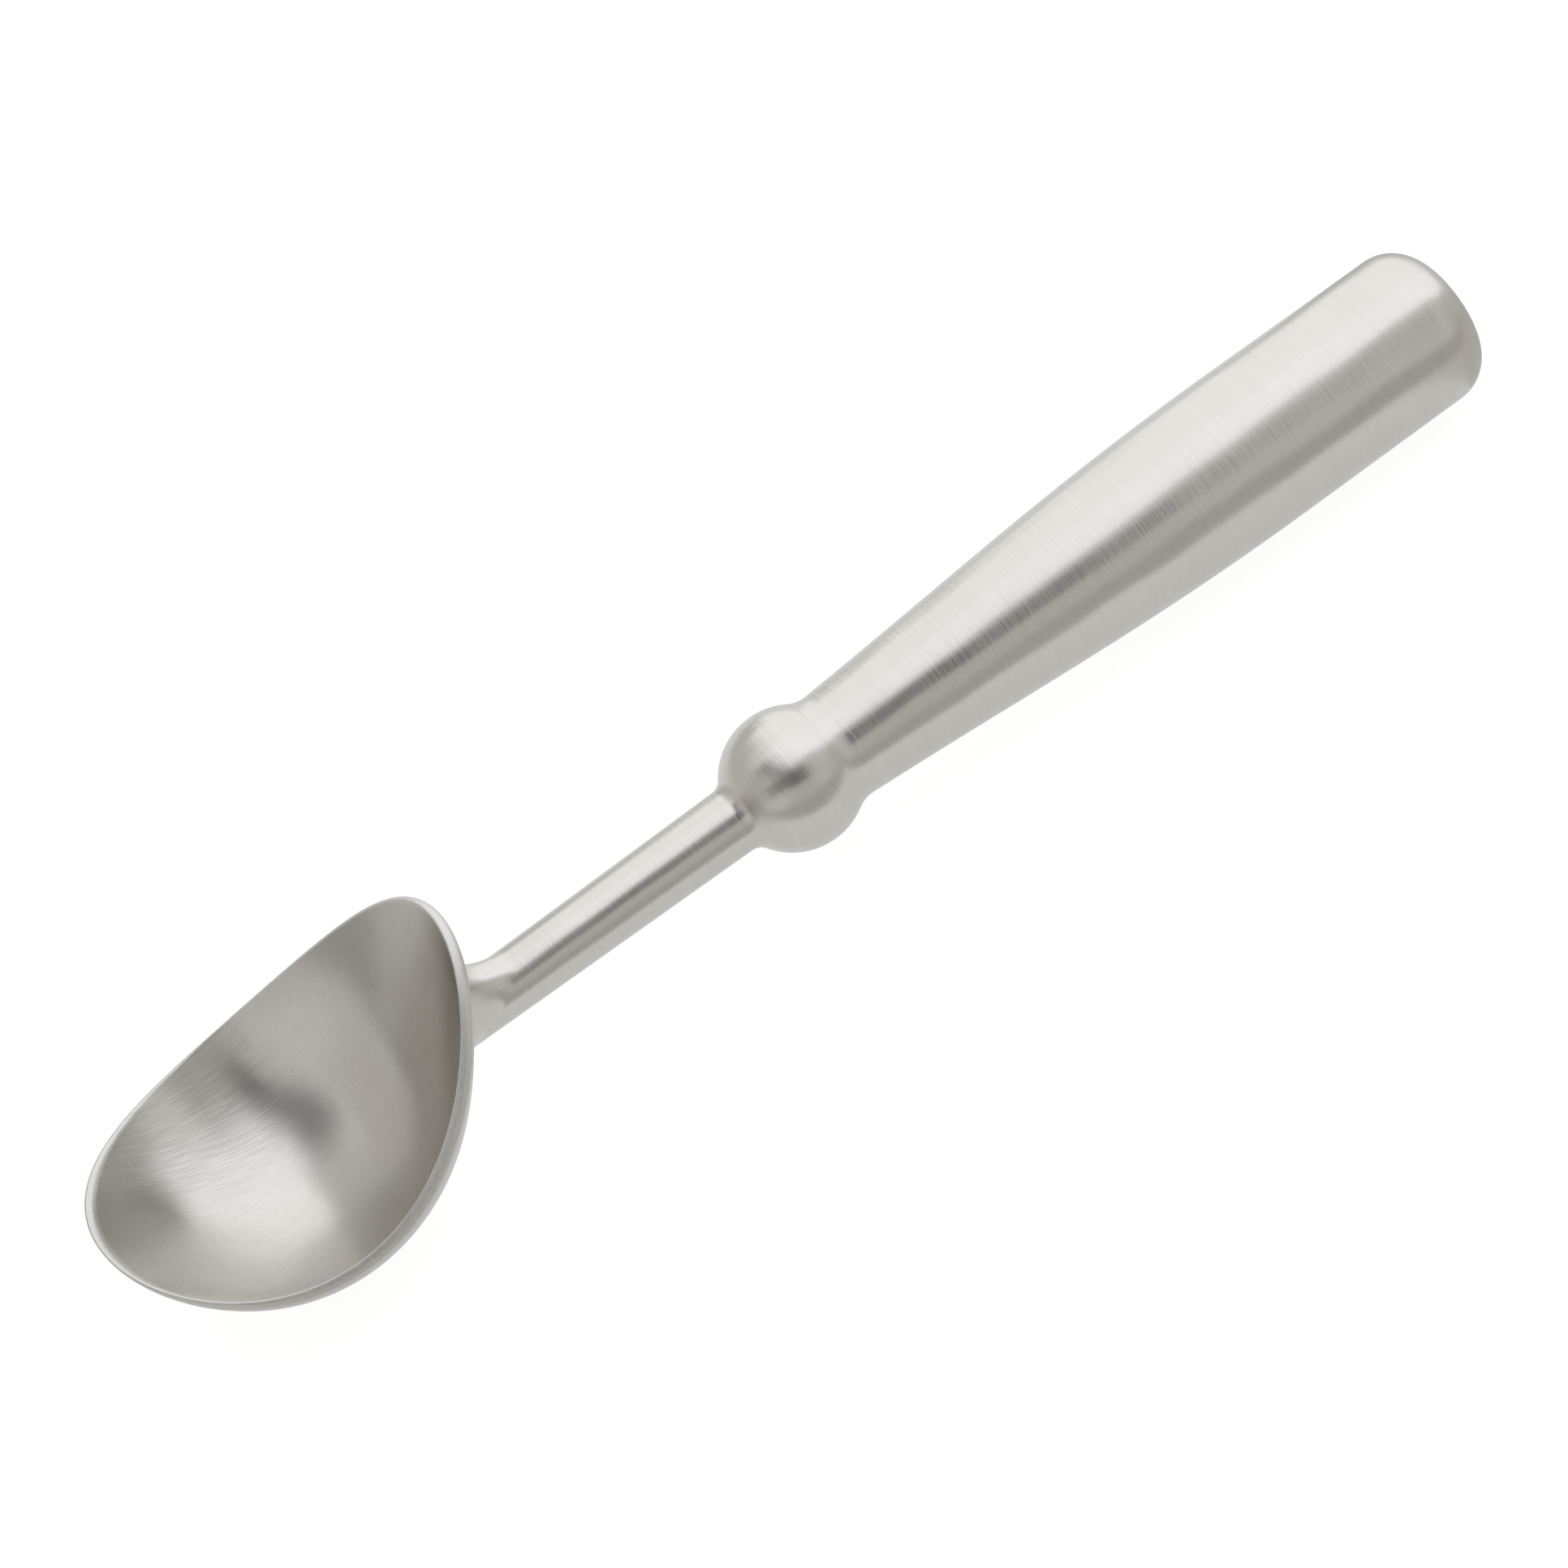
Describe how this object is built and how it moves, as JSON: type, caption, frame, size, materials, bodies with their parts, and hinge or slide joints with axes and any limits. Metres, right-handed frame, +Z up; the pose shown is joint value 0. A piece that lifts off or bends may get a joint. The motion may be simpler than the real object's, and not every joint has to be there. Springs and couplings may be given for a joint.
{
  "type": "ice cream scoop",
  "caption": "Satin stainless steel ice cream scoop: a dished bowl with a high back on a round neck, a ball collar and a hollow tapered handle with a rounded butt.",
  "frame": {"origin": "centre of the footprint, on the surface that the scoop lies on", "axes": "+X from the bowl towards the butt of the handle, +Z up, out of the open side of the bowl"},
  "size_m": [0.2026, 0.0458, 0.0315],
  "materials": {
    "bowl_steel": "satin, with fine scratches along the bowl",
    "stem_steel": "satin, brushed round the neck and ball",
    "handle_steel": "satin, brushed round the handle",
    "inner_steel": "turned, unpolished"
  },
  "bodies": {
    "root": {"bowl": "bowl_steel", "bowl_weld": "stem_steel", "neck": "stem_steel", "ball_collar": "stem_steel", "handle_tube": "handle_steel", "tang_bush": "inner_steel", "tang_pin": "inner_steel", "cap_ring": "inner_steel", "end_cap": "handle_steel"}
  },
  "joints": []
}
